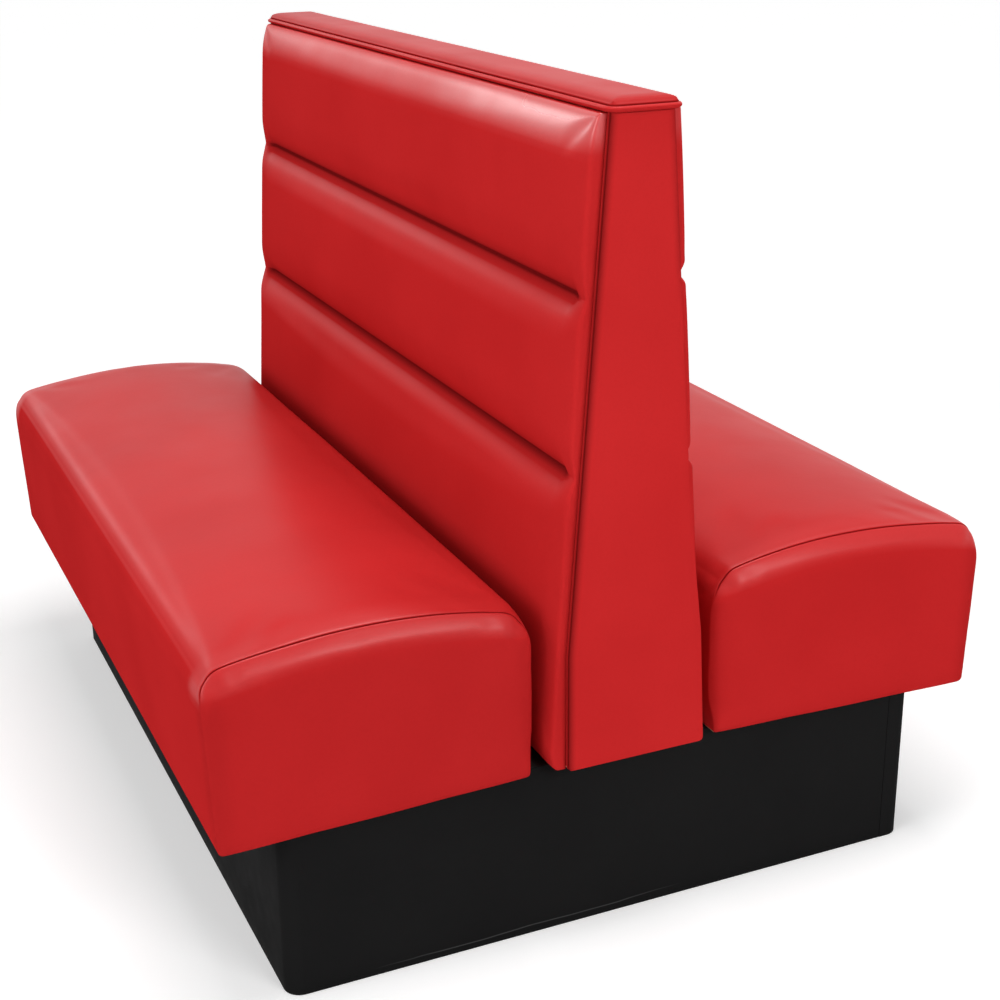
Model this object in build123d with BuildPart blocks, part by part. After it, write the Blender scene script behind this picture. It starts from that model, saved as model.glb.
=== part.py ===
from build123d import *
import os

# A double restaurant booth: two box seats share one backrest on a recessed plinth.
# X runs along the booth and Y from the front seat to the rear seat. Z is up.
# The origin is on the floor, under the middle of the booth. Sizes are in millimetres.

# Plinth
plinth_end_setback = 23.0
plinth_front_setback = 77.5
plinth_corner_radius = 22.0
plinth_board = 19.0
plinth_post = 45.0
plinth_top_board = 12.0
plinth_cross_rail_place = 200.0
kick_cover_sheet = 1.5
kick_cover_front_hem = 2.0
kick_cover_rear_hem = 0.5
kick_cover_seam_from_corner = 28.0
kick_cover_seam_gap = 0.6

# Seats
seat_length = 1208.0
seat_front_depth = 525.0
seat_front_swell = 9.0
seat_back_depth = 130.0
seat_back_height = 240.0
seat_pitch_drop = 10.0
seat_crown_height = 483.0
seat_crown_depth = 325.0
seat_crown_radius = 614.0
seat_crown_rise = 6.0
seat_shoulder_radius = 24.0
seat_bottom_radius = 10.0
seat_rail = 19.0
seat_end_rail = 30.0
seat_end_panel = 7.8
seat_end_roll = 6.5
seat_seam_inset = 6.0
seat_front_lip = 6.0
seat_deck_height = 372.0
seat_deck_board = 12.0
dust_cover_sheet = 0.8
dust_cover_margin = 12.0

# Backrest
back_foot_height = 247.0
back_foot_depth = 86.0
back_head_height = 1035.0
back_head_depth = 36.5
back_panel_sheet = 6.0
back_gusset = 18.0
back_top_rail = 19.0
back_bottom_rail_depth = 60.0
back_bottom_rail_height = 262.0
lower_groove_height = 630.0
upper_groove_height = 846.0
groove_thickness = 9.0
foot_thickness = 20.0
head_thickness = 16.0
lower_channel_crown = 27.0
middle_channel_crown = 24.5
upper_channel_crown = 23.0
channel_end_crown_share = 0.8
channel_end_run = 28.0
channel_gap = 0.6

# Upholstered end panels of the backrest
end_panel_foot_margin = 2.0
end_panel_knee_rise = 154.0
end_panel_head_margin = 3.1
end_panel_head_rise = 6.0
end_panel_side_radius = 10.0
end_board = 14.0

# Cap along the top of the back
cap_board_end_inset = 7.0
cap_board_side_inset = 1.1
cap_board_sheet = 9.0
cap_corner_radius = 8.0
cap_pad_rise = 5.0
cap_edge_radius = 3.5
cap_welt_diameter = 6.0

# Upholstery vinyl, fasteners and fits
vinyl = 1.2
fit_gap = 0.3
screw_diameter = 5.0
screw_head_diameter = 10.0
screw_head_height = 3.0
seat_screw_length = 50.0
panel_screw_length = 27.0
inner_screw_share = 0.25
outer_screw_share = 0.85
middle_screw_share = 0.6
end_screw_shares = (0.1, 0.5, 0.9)
overrun = 20.0

# The seats are pitched: their undersides and the plinth's top fall towards the front of each seat.
pitch = seat_pitch_drop / (seat_front_depth - seat_back_depth)
ridge_height = seat_back_height + seat_back_depth * pitch

# Faces and places that follow from the sizes above
half_seat = seat_length / 2
plinth_length = seat_length - 2 * plinth_end_setback
plinth_depth = 2 * (seat_front_depth - plinth_front_setback)
half_plinth = plinth_length / 2 - kick_cover_sheet
plinth_face = plinth_depth / 2 - kick_cover_sheet
post_radius = plinth_corner_radius - kick_cover_sheet
half_seat_frame = half_seat - seat_end_panel
seat_seam = half_seat - seat_seam_inset
seat_frame_back = seat_back_depth + vinyl + fit_gap
seat_frame_front = seat_front_depth - seat_front_lip
back_slope = (back_foot_depth - back_head_depth) / (back_head_height - back_foot_height)
half_back_foam = half_seat - vinyl - fit_gap
end_panel_foot_depth = back_foot_depth + end_panel_foot_margin
end_panel_knee_height = back_foot_height + end_panel_knee_rise
end_panel_head_depth = back_head_depth + end_panel_head_margin
end_panel_head_height = back_head_height + end_panel_head_rise
gusset_top = end_panel_head_height - back_top_rail
edge_heights = (back_foot_height, lower_groove_height, upper_groove_height, back_head_height)
edge_thicknesses = (foot_thickness, groove_thickness, groove_thickness, head_thickness)
channel_crowns = (lower_channel_crown, middle_channel_crown, upper_channel_crown)
channel_names = ("lower", "middle", "upper")
cap_board_length = 2 * (half_seat + end_board + fit_gap + vinyl - cap_board_end_inset)
cap_board_depth = 2 * (end_panel_head_depth - cap_board_side_inset)
cap_board_top = end_panel_head_height + cap_board_sheet
cap_pad_top = cap_board_top + cap_pad_rise

sides = (("front", -1), ("rear", 1))
ends = (("near", 1), ("far", -1))


def seat_floor(depth):
    """Height of a seat's underside, at a distance from the middle of the booth."""
    return ridge_height - abs(depth) * pitch


def back_face(height):
    """Distance from the middle to the outer face of a plywood back panel, at a height."""
    return back_head_depth + (back_head_height - height) * back_slope


def save(piece, name):
    """Label a finished piece and write it."""
    piece.label = name
    export_step(piece, f"parts/{name}.step")


def draw_plinth_rib(reach):
    """A plinth member that crosses from front to rear, its top edge pitched both ways."""
    Polygon(
        (-reach, 0),
        (reach, 0),
        (reach, seat_floor(reach) - plinth_top_board),
        (0, ridge_height - plinth_top_board),
        (-reach, seat_floor(reach) - plinth_top_board),
        align=None,
    )


def draw_seat_board(side, inner, outer):
    """A seat rail seen from the end, from the pitched dust cover up to the deck."""
    Polygon(
        (side * inner, seat_floor(inner) + dust_cover_sheet),
        (side * outer, seat_floor(outer) + dust_cover_sheet),
        (side * outer, seat_deck_height),
        (side * inner, seat_deck_height),
        align=None,
    )


def draw_seat_profile(sketch, side, inset, rise, lift):
    """A seat seen from the end: swollen front, crowned top and rounded shoulders."""
    back = seat_back_depth + inset
    foot = seat_front_depth - inset
    front = foot + seat_front_swell
    peak = seat_crown_height + rise - inset
    back_top = peak - (seat_crown_depth - back) ** 2 / seat_crown_radius / 2
    front_top = peak - (front - seat_crown_depth) ** 2 / seat_crown_radius / 2
    with BuildLine() as outline:
        Polyline(
            (side * back, back_top),
            (side * back, seat_floor(back) + lift),
            (side * foot, seat_floor(foot) + lift),
            (side * front, front_top),
        )
        ThreePointArc(
            (side * front, front_top), (side * seat_crown_depth, peak), (side * back, back_top)
        )
    make_face(outline.edges())
    fillet(sketch.vertices().sort_by(Axis.Y)[-2:], seat_shoulder_radius - inset)


def channel_height(index, crown_share):
    """Thickness of a foam channel at its crown, which is lower near the channel's ends."""
    base = (edge_thicknesses[index] + edge_thicknesses[index + 1]) / 2
    return base + (channel_crowns[index] - base) * crown_share


def channel_sections(reach):
    """Places along X, and crown shares, of the sections that a channel is lofted through."""
    full = half_back_foam - channel_end_run
    return ((-reach, channel_end_crown_share), (-full, 1), (full, 1), (reach, channel_end_crown_share))


def draw_back_channel(side, index, crown_share):
    """One foam channel seen from the end: flat on its panel and crowned outside."""
    low = edge_heights[index] + (channel_gap / 2 if index > 0 else 0)
    high = edge_heights[index + 1] - (channel_gap / 2 if index < len(channel_crowns) - 1 else 0)
    low_point = (side * (back_face(low) + edge_thicknesses[index]), low)
    high_point = (side * (back_face(high) + edge_thicknesses[index + 1]), high)
    middle = (low + high) / 2
    crown = back_face(middle) + channel_height(index, crown_share)
    with BuildLine() as outline:
        Polyline(low_point, (side * back_face(low), low), (side * back_face(high), high), high_point)
        ThreePointArc(low_point, (side * crown, middle), high_point)
    make_face(outline.edges())


def draw_back_cover(side, grow, depth, crown_share):
    """The channelled cover of one side of the back, seen from the end and filled in."""
    heights = (back_foot_height - grow, *edge_heights[1:-1], back_head_height + grow)
    points = [(side * (back_face(z) + t + grow), z) for z, t in zip(heights, edge_thicknesses)]
    with BuildLine() as outline:
        Polyline(
            points[0],
            (side * (back_face(heights[0]) - depth), heights[0]),
            (side * (back_face(heights[-1]) - depth), heights[-1]),
            points[-1],
        )
        for index in range(len(channel_crowns)):
            middle = (heights[index] + heights[index + 1]) / 2
            crown = back_face(middle) + channel_height(index, crown_share) + grow
            ThreePointArc(points[index], (side * crown, middle), points[index + 1])
    make_face(outline.edges())


def end_panel_sections(inset):
    """Heights, and half depths, of the sections that an end panel is lofted through."""
    return (
        (back_foot_height + inset, end_panel_foot_depth - inset),
        (end_panel_knee_height, end_panel_foot_depth - inset),
        (end_panel_head_height - inset, end_panel_head_depth - inset),
    )


def draw_end_section(sketch, end, thickness, half_depth, inset):
    """An end panel seen from above, its two outer corners rounded."""
    with Locations((end * (half_seat + thickness / 2), 0)):
        Rectangle(thickness, 2 * half_depth)
    outer_corners = sketch.vertices().sort_by(Axis.X)[slice(-2, None) if end > 0 else slice(2)]
    fillet(outer_corners, end_panel_side_radius - inset)


def add_screw(length):
    """A countersunk screw that points along the local Z from its head's face."""
    foot = (Align.CENTER, Align.CENTER, Align.MIN)
    Cylinder(screw_diameter / 2, length, align=foot)
    Cone(screw_head_diameter / 2, screw_diameter / 2, screw_head_height, align=foot)


os.makedirs("parts", exist_ok=True)

# Screws that hold the seats to the plinth: two in each centre rail and four in each back rail
rail_middle = seat_frame_back + seat_rail / 2
rail_span = plinth_face - plinth_board - seat_frame_back - seat_rail
screw_middle_place = plinth_cross_rail_place * middle_screw_share
screw_end_place = (plinth_cross_rail_place + half_plinth - plinth_board) / 2
seat_screw_places = [
    (0, seat_frame_back + seat_rail + rail_span * inner_screw_share),
    (0, seat_frame_back + seat_rail + rail_span * outer_screw_share),
    (-screw_end_place, rail_middle),
    (-screw_middle_place, rail_middle),
    (screw_middle_place, rail_middle),
    (screw_end_place, rail_middle),
]
with BuildPart() as seat_screws:
    for _, side in sides:
        for x, y in seat_screw_places:
            with Locations((x, side * y, seat_floor(y) - plinth_top_board)):
                add_screw(seat_screw_length)
save(seat_screws.part, "seat_screws")

# Screws that hold the back to the plinth, into its bottom rail
back_screw_depth = back_bottom_rail_depth / 2
with BuildPart() as back_screws:
    for x in (-screw_end_place, screw_end_place):
        for y in (-back_screw_depth, back_screw_depth):
            with Locations((x, y, seat_floor(y) - plinth_top_board)):
                add_screw(panel_screw_length)
save(back_screws.part, "back_screws")

# Screws through the cap board into the top rail
with BuildPart() as cap_screws:
    for x in (-screw_end_place, -screw_middle_place, screw_middle_place, screw_end_place):
        with Locations(Plane((x, 0, cap_board_top), x_dir=(1, 0, 0), z_dir=(0, 0, -1))):
            add_screw(panel_screw_length)
save(cap_screws.part, "cap_screws")

# Screws through the end gussets into the end boards
with BuildPart() as end_board_screws:
    for _, end in ends:
        for height_share in end_screw_shares:
            height = back_foot_height + (gusset_top - back_foot_height) * height_share
            head_face = (end * (half_seat - back_gusset), 0, height)
            with Locations(Plane(head_face, x_dir=(0, 1, 0), z_dir=(end, 0, 0))):
                add_screw(panel_screw_length)
save(end_board_screws.part, "end_board_screws")

# Plinth front and rear boards between the corner posts
for name, side in sides:
    with BuildPart() as plinth_long_board:
        with BuildSketch(Plane.YZ.offset(plinth_post - half_plinth)):
            inner = plinth_face - plinth_board
            Polygon(
                (side * inner, 0),
                (side * plinth_face, 0),
                (side * plinth_face, seat_floor(plinth_face) - plinth_top_board),
                (side * inner, seat_floor(inner) - plinth_top_board),
                align=None,
            )
        extrude(amount=2 * (half_plinth - plinth_post))
    save(plinth_long_board.part, f"plinth_{name}_board")

# Plinth end boards between the posts, and cross rails between the long boards
for name, end in ends:
    with BuildPart() as plinth_end_board:
        with BuildSketch(Plane.YZ.offset(end * half_plinth)):
            draw_plinth_rib(plinth_face - plinth_post)
        extrude(amount=-end * plinth_board)
    save(plinth_end_board.part, f"plinth_end_board_{name}")

    with BuildPart() as plinth_cross_rail:
        with BuildSketch(Plane.YZ.offset(end * plinth_cross_rail_place - plinth_board / 2)):
            draw_plinth_rib(plinth_face - plinth_board)
        extrude(amount=plinth_board)
    save(plinth_cross_rail.part, f"plinth_cross_rail_{name}")

# Corner posts, rounded where the kick cover turns the corner
with BuildPart() as plinth_corner_posts:
    for _, side in sides:
        for _, end in ends:
            with BuildSketch(Plane.YZ.offset(end * half_plinth)):
                inner = plinth_face - plinth_post
                Polygon(
                    (side * inner, 0),
                    (side * plinth_face, 0),
                    (side * plinth_face, seat_floor(plinth_face) - plinth_top_board),
                    (side * inner, seat_floor(inner) - plinth_top_board),
                    align=None,
                )
            extrude(amount=-end * plinth_post)
    outer_edges = plinth_corner_posts.edges().filter_by(Axis.Z).group_by(SortBy.DISTANCE)[-1]
    fillet(outer_edges, post_radius)
save(plinth_corner_posts.part, "plinth_corner_posts")

# Top boards of the plinth, which meet in a low ridge under the back
for name, side in sides:
    with BuildPart() as plinth_top:
        with BuildSketch(Plane.YZ.offset(-half_plinth)):
            Polygon(
                (0, ridge_height - plinth_top_board),
                (side * plinth_face, seat_floor(plinth_face) - plinth_top_board),
                (side * plinth_face, seat_floor(plinth_face)),
                (0, ridge_height),
                align=None,
            )
        extrude(amount=2 * half_plinth)
        outer_edges = plinth_top.edges().filter_by(Axis.Z).group_by(SortBy.DISTANCE)[-1]
        fillet(outer_edges, post_radius)
        add(seat_screws.part, mode=Mode.SUBTRACT)
        add(back_screws.part, mode=Mode.SUBTRACT)
    save(plinth_top.part, f"plinth_top_{name}")

# Kick cover: a front wrap that turns both front corners and runs along the ends, and a rear wrap
# that turns both rear corners. They meet in a seam on each end, near the rear corner.
with BuildPart() as above_plinth:
    with BuildSketch(Plane.YZ.offset(-half_seat)):
        Polygon(
            (0, ridge_height),
            (-seat_front_depth, seat_floor(seat_front_depth)),
            (-seat_front_depth, ridge_height + overrun),
            (seat_front_depth, ridge_height + overrun),
            (seat_front_depth, seat_floor(seat_front_depth)),
            align=None,
        )
    extrude(amount=seat_length)

cover_seam_depth = plinth_depth / 2 - kick_cover_seam_from_corner
for name, kept, seam, hem in (
    ("front", Keep.BOTTOM, cover_seam_depth - kick_cover_seam_gap, kick_cover_front_hem),
    ("rear", Keep.TOP, cover_seam_depth, kick_cover_rear_hem),
):
    with BuildPart() as kick_cover:
        with BuildSketch(Plane.XY.offset(hem)):
            RectangleRounded(plinth_length, plinth_depth, plinth_corner_radius)
            RectangleRounded(2 * half_plinth, 2 * plinth_face, post_radius, mode=Mode.SUBTRACT)
        extrude(amount=ridge_height)
        add(above_plinth.part, mode=Mode.SUBTRACT)
        split(bisect_by=Plane((0, seam, 0), x_dir=(1, 0, 0), z_dir=(0, 1, 0)), keep=kept)
    save(kick_cover.part, f"kick_cover_{name}")

# The two seats
for name, side in sides:
    rails = (
        ("front_rail", seat_frame_front - seat_rail, seat_frame_front),
        ("back_rail", seat_frame_back, seat_frame_back + seat_rail),
    )
    for rail, inner, outer in rails:
        with BuildPart() as seat_long_rail:
            with BuildSketch(Plane.YZ.offset(-half_seat_frame)):
                draw_seat_board(side, inner, outer)
            extrude(amount=2 * half_seat_frame)
            add(seat_screws.part, mode=Mode.SUBTRACT)
        save(seat_long_rail.part, f"{name}_seat_{rail}")

    cross_rails = (
        ("end_rail_near", half_seat_frame - seat_end_rail),
        ("end_rail_far", -half_seat_frame),
        ("centre_rail", -seat_end_rail / 2),
    )
    for rail, start in cross_rails:
        with BuildPart() as seat_cross_rail:
            with BuildSketch(Plane.YZ.offset(start)):
                draw_seat_board(side, seat_frame_back + seat_rail, seat_frame_front - seat_rail)
            extrude(amount=seat_end_rail)
            add(seat_screws.part, mode=Mode.SUBTRACT)
        save(seat_cross_rail.part, f"{name}_seat_{rail}")

    with BuildPart() as seat_deck:
        with BuildSketch(Plane.XY.offset(seat_deck_height)):
            with Locations((0, side * (seat_frame_back + seat_frame_front) / 2)):
                Rectangle(2 * half_seat_frame, seat_frame_front - seat_frame_back)
        extrude(amount=seat_deck_board)
    save(seat_deck.part, f"{name}_seat_deck")

    # Dust cover, stapled under the rails and clamped on the plinth's top
    with BuildPart() as dust_cover:
        with BuildSketch(Plane.YZ.offset(dust_cover_margin - half_seat)):
            inner = seat_back_depth + dust_cover_margin
            outer = seat_front_depth - dust_cover_margin
            Polygon(
                (side * inner, seat_floor(inner)),
                (side * outer, seat_floor(outer)),
                (side * outer, seat_floor(outer) + dust_cover_sheet),
                (side * inner, seat_floor(inner) + dust_cover_sheet),
                align=None,
            )
        extrude(amount=seat_length - 2 * dust_cover_margin)
        add(seat_screws.part, mode=Mode.SUBTRACT)
    save(dust_cover.part, f"{name}_seat_dust_cover")

    # Foam cushion, crowned both ways, with a lip that runs down over the front rail
    with BuildPart() as seat_foam:
        for place, rise in ((-half_seat_frame, 0), (0, seat_crown_rise), (half_seat_frame, 0)):
            with BuildSketch(Plane.YZ.offset(place)) as section:
                draw_seat_profile(section, side, vinyl + fit_gap, rise, dust_cover_sheet)
        loft()
        with BuildSketch(Plane.YZ.offset(-half_seat)):
            Polygon(
                (0, 0),
                (side * seat_frame_front, 0),
                (side * seat_frame_front, seat_deck_height + seat_deck_board),
                (0, seat_deck_height + seat_deck_board),
                align=None,
            )
        extrude(amount=seat_length, mode=Mode.SUBTRACT)
    save(seat_foam.part, f"{name}_seat_foam")

    # Vinyl cover, up the front, over the cushion and down the back; its two ends are the seams
    seam_sections = ((-seat_seam, 0), (0, seat_crown_rise), (seat_seam, 0))
    with BuildPart() as seat_cover_hollow:
        for place, rise in seam_sections:
            with BuildSketch(Plane.YZ.offset(place)) as section:
                draw_seat_profile(section, side, vinyl, rise, -overrun)
        loft()
    with BuildPart() as seat_cover:
        for place, rise in seam_sections:
            with BuildSketch(Plane.YZ.offset(place)) as section:
                draw_seat_profile(section, side, 0, rise, dust_cover_sheet)
        loft()
        add(seat_cover_hollow.part, mode=Mode.SUBTRACT)
    save(seat_cover.part, f"{name}_seat_cover")

    # Padded vinyl end panels, which roll over to the seams at the two ends of the cover
    for end_name, end in ends:
        with BuildPart() as seat_end_panels:
            with BuildSketch(Plane.YZ.offset(end * half_seat)) as section:
                draw_seat_profile(section, side, vinyl + fit_gap, 0, dust_cover_sheet)
                fillet(section.vertices().sort_by(Axis.Y)[:2], seat_bottom_radius)
            extrude(amount=-end * (seat_end_panel - fit_gap))
            outer_face = seat_end_panels.faces().sort_by(Axis.X)[-1 if end > 0 else 0]
            fillet(outer_face.edges(), seat_end_roll)
        save(seat_end_panels.part, f"{name}_seat_end_panel_{end_name}")

# Back frame: end gussets on the plinth's ridge, a bottom rail between them, a centre gusset on the
# bottom rail, and a top rail over all three gussets
gusset_head = back_face(gusset_top) - back_panel_sheet
for name, end in ends:
    with BuildPart() as back_gusset_board:
        with BuildSketch(Plane.YZ.offset(end * half_seat)):
            gusset_foot = back_face(ridge_height) - back_panel_sheet
            Polygon(
                (-gusset_foot, seat_floor(gusset_foot)),
                (0, ridge_height),
                (gusset_foot, seat_floor(gusset_foot)),
                (gusset_head, gusset_top),
                (-gusset_head, gusset_top),
                align=None,
            )
        extrude(amount=-end * back_gusset)
        add(end_board_screws.part, mode=Mode.SUBTRACT)
    save(back_gusset_board.part, f"back_gusset_{name}")

with BuildPart() as back_gusset_centre:
    with BuildSketch(Plane.YZ.offset(-back_gusset / 2)):
        gusset_foot = back_face(back_bottom_rail_height) - back_panel_sheet
        Polygon(
            (-gusset_foot, back_bottom_rail_height),
            (gusset_foot, back_bottom_rail_height),
            (gusset_head, gusset_top),
            (-gusset_head, gusset_top),
            align=None,
        )
    extrude(amount=back_gusset)
save(back_gusset_centre.part, "back_gusset_centre")

with BuildPart() as back_bottom_rail:
    with BuildSketch(Plane.YZ.offset(back_gusset - half_seat)):
        Polygon(
            (-back_bottom_rail_depth, seat_floor(back_bottom_rail_depth)),
            (0, ridge_height),
            (back_bottom_rail_depth, seat_floor(back_bottom_rail_depth)),
            (back_bottom_rail_depth, back_bottom_rail_height),
            (-back_bottom_rail_depth, back_bottom_rail_height),
            align=None,
        )
    extrude(amount=seat_length - 2 * back_gusset)
    add(back_screws.part, mode=Mode.SUBTRACT)
save(back_bottom_rail.part, "back_bottom_rail")

with BuildPart() as back_top_rail_board:
    with BuildSketch(Plane.XY.offset(gusset_top)):
        Rectangle(seat_length, 2 * (back_head_depth - back_panel_sheet - fit_gap))
    extrude(amount=back_top_rail)
    add(cap_screws.part, mode=Mode.SUBTRACT)
save(back_top_rail_board.part, "back_top_rail")

# Plywood panels, foam channels and channelled cover on each side of the back
for name, side in sides:
    with BuildPart() as back_panel:
        with BuildSketch(Plane.YZ.offset(-half_back_foam)):
            foot = back_face(back_foot_height)
            Polygon(
                (side * (foot - back_panel_sheet), back_foot_height),
                (side * foot, back_foot_height),
                (side * back_head_depth, back_head_height),
                (side * (back_head_depth - back_panel_sheet), back_head_height),
                align=None,
            )
        extrude(amount=2 * half_back_foam)
    save(back_panel.part, f"back_panel_{name}")

    for index, channel in enumerate(channel_names):
        with BuildPart() as back_foam:
            for place, crown_share in channel_sections(half_back_foam):
                with BuildSketch(Plane.YZ.offset(place)):
                    draw_back_channel(side, index, crown_share)
            loft(ruled=True)
        save(back_foam.part, f"back_foam_{name}_{channel}")

    with BuildPart() as back_cover_hollow:
        for place, crown_share in channel_sections(half_seat - vinyl):
            with BuildSketch(Plane.YZ.offset(place)):
                draw_back_cover(side, fit_gap, back_panel_sheet + overrun, crown_share)
        loft(ruled=True)
    with BuildPart() as back_cover:
        for place, crown_share in channel_sections(half_seat):
            with BuildSketch(Plane.YZ.offset(place)):
                draw_back_cover(side, vinyl + fit_gap, back_panel_sheet, crown_share)
        loft(ruled=True)
        add(back_cover_hollow.part, mode=Mode.SUBTRACT)
    save(back_cover.part, f"back_cover_{name}")

# End boards of the back, each in its own vinyl cover
for name, end in ends:
    with BuildPart() as back_end_board:
        for height, half_depth in end_panel_sections(vinyl + fit_gap):
            with BuildSketch(Plane.XY.offset(height)) as section:
                draw_end_section(section, end, end_board, half_depth, vinyl + fit_gap)
        loft(ruled=True)
        add(end_board_screws.part, mode=Mode.SUBTRACT)
    save(back_end_board.part, f"back_end_board_{name}")

    with BuildPart() as end_cover_hollow:
        for height, half_depth in end_panel_sections(vinyl):
            with BuildSketch(Plane.XY.offset(height)) as section:
                draw_end_section(section, end, end_board + fit_gap, half_depth, vinyl)
        loft(ruled=True)
    with BuildPart() as back_end_cover:
        for height, half_depth in end_panel_sections(0):
            with BuildSketch(Plane.XY.offset(height)) as section:
                draw_end_section(section, end, end_board + fit_gap + vinyl, half_depth, 0)
        loft(ruled=True)
        add(end_cover_hollow.part, mode=Mode.SUBTRACT)
    save(back_end_cover.part, f"back_end_cover_{name}")

# Cap board, its thin pad, and the vinyl cover pulled over both
with BuildPart() as cap_board:
    with BuildSketch(Plane.XY.offset(end_panel_head_height)):
        RectangleRounded(cap_board_length, cap_board_depth, cap_corner_radius)
    extrude(amount=cap_board_sheet)
    add(cap_screws.part, mode=Mode.SUBTRACT)
save(cap_board.part, "cap_board")

with BuildPart() as cap_pad:
    with BuildSketch(Plane.XY.offset(cap_board_top)):
        RectangleRounded(cap_board_length, cap_board_depth, cap_corner_radius)
    extrude(amount=cap_pad_rise)
    fillet(cap_pad.faces().sort_by(Axis.Z)[-1].edges(), cap_edge_radius - vinyl)
save(cap_pad.part, "cap_pad")

welt_top = end_panel_head_height + cap_welt_diameter + fit_gap
with BuildPart() as cap_cover:
    with BuildSketch(Plane.XY.offset(welt_top)):
        RectangleRounded(
            cap_board_length + 2 * (fit_gap + vinyl),
            cap_board_depth + 2 * (fit_gap + vinyl),
            cap_corner_radius + fit_gap + vinyl,
        )
    extrude(amount=cap_pad_top + fit_gap + vinyl - welt_top)
    fillet(cap_cover.faces().sort_by(Axis.Z)[-1].edges(), cap_edge_radius)
    with BuildSketch(Plane.XY.offset(welt_top)):
        RectangleRounded(
            cap_board_length + 2 * fit_gap, cap_board_depth + 2 * fit_gap, cap_corner_radius + fit_gap
        )
    extrude(amount=cap_pad_top + fit_gap - welt_top, mode=Mode.SUBTRACT)
save(cap_cover.part, "cap_cover")

# Welt: a piping cord that runs round under the cap cover's edge
welt_reach = fit_gap + cap_welt_diameter / 2
half_welt_length = cap_board_length / 2 + welt_reach
half_welt_depth = cap_board_depth / 2 + welt_reach
with BuildPart() as cap_welt:
    with BuildLine(Plane.XY.offset(welt_top - cap_welt_diameter / 2 - fit_gap / 2)) as welt_path:
        FilletPolyline(
            (half_welt_length, -half_welt_depth),
            (half_welt_length, half_welt_depth),
            (-half_welt_length, half_welt_depth),
            (-half_welt_length, -half_welt_depth),
            radius=cap_corner_radius + welt_reach,
            close=True,
        )
    with BuildSketch(Plane(origin=welt_path.line @ 0, z_dir=welt_path.line % 0)):
        Circle(cap_welt_diameter / 2)
    sweep()
save(cap_welt.part, "cap_welt")
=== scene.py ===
import math

import bmesh
import bpy
from mathutils import Euler, Matrix, Vector, noise
from mathutils.kdtree import KDTree


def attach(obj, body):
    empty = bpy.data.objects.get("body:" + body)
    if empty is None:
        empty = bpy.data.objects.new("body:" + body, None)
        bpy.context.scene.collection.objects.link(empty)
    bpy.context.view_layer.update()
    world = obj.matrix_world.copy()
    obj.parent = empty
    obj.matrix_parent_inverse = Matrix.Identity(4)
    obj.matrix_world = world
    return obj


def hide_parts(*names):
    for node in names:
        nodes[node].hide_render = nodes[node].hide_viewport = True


# A double restaurant booth: two box seats share one channelled backrest on a black plinth.
# X runs along the booth, its near end at +X. The front seat is at -Y and the rear seat at +Y.
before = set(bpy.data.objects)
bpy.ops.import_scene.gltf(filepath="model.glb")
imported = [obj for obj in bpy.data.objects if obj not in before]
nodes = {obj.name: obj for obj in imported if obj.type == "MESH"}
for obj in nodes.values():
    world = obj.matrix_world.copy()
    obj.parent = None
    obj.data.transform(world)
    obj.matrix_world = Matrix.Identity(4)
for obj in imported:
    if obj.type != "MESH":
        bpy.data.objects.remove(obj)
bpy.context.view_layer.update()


# Plinth
# The plinth is a box of 19 mm plywood boards between hardwood corner posts, with two cross rails.
# Its thin top boards have a near-black wood finish, where they show in the gaps beside the back.

birch = (0.62, 0.45, 0.27)
birch_dark = (0.43, 0.28, 0.15)
post_wood = (0.55, 0.36, 0.2)
post_wood_dark = (0.36, 0.21, 0.11)
black_top_wood = (0.012, 0.011, 0.011)
black_top_wood_dark = (0.006, 0.006, 0.006)
grain_along = 4.0
grain_across = 55.0
ply_pair = 0.0028
pore_depth = 0.0002


def add_node(tree, kind, inputs=None, **settings):
    """A shader node with its settings, and its inputs set to values or linked to other nodes."""
    made = tree.nodes.new(kind)
    for name, value in settings.items():
        setattr(made, name, value)
    for name, value in (inputs or {}).items():
        if isinstance(value, bpy.types.NodeSocket):
            tree.links.new(value, made.inputs[name])
        else:
            made.inputs[name].default_value = value
    return made


def start_finish(name, metallic=0.0, roughness=0.5, specular=0.5):
    """A new finish with its shader, and the place on the piece in metres."""
    finish = bpy.data.materials.new(name)
    finish.use_nodes = True
    tree = finish.node_tree
    shader = tree.nodes["Principled BSDF"]
    shader.inputs["Metallic"].default_value = metallic
    shader.inputs["Roughness"].default_value = roughness
    shader.inputs["Specular IOR Level"].default_value = specular
    place = add_node(tree, "ShaderNodeTexCoord").outputs["Object"]
    return finish, tree, shader, place


def calculate(tree, operation, *values):
    """One step of arithmetic on the values of nodes and on plain numbers."""
    inputs = dict(enumerate(values))
    return add_node(tree, "ShaderNodeMath", inputs, operation=operation).outputs[0]


def one_axis(tree, vector, axis):
    """One of the three parts of a place or a direction."""
    return add_node(tree, "ShaderNodeSeparateXYZ", {"Vector": vector}).outputs[axis]


def cloudy(tree, place, scale, detail=2.0, **more):
    """Soft clouds over a piece, as a share from 0 to 1."""
    inputs = {"Vector": place, "Scale": scale, "Detail": detail, **more}
    return add_node(tree, "ShaderNodeTexNoise", inputs).outputs["Fac"]


def pebbled(tree, place, scale, randomness=1.0, feature="F1"):
    """Small round cells over a piece, as the distance from the middle of each."""
    inputs = {"Vector": place, "Scale": scale, "Randomness": randomness}
    return add_node(tree, "ShaderNodeTexVoronoi", inputs, feature=feature).outputs["Distance"]


def mix_colours(tree, share, first, second):
    """A colour between two, by a share that another node gives."""
    mix = add_node(tree, "ShaderNodeMix", data_type="RGBA")
    tree.links.new(share, mix.inputs[0])
    for socket, colour in ((mix.inputs[6], first), (mix.inputs[7], second)):
        if isinstance(colour, bpy.types.NodeSocket):
            tree.links.new(colour, socket)
        else:
            socket.default_value = (*colour, 1)
    return mix.outputs[2]


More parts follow.
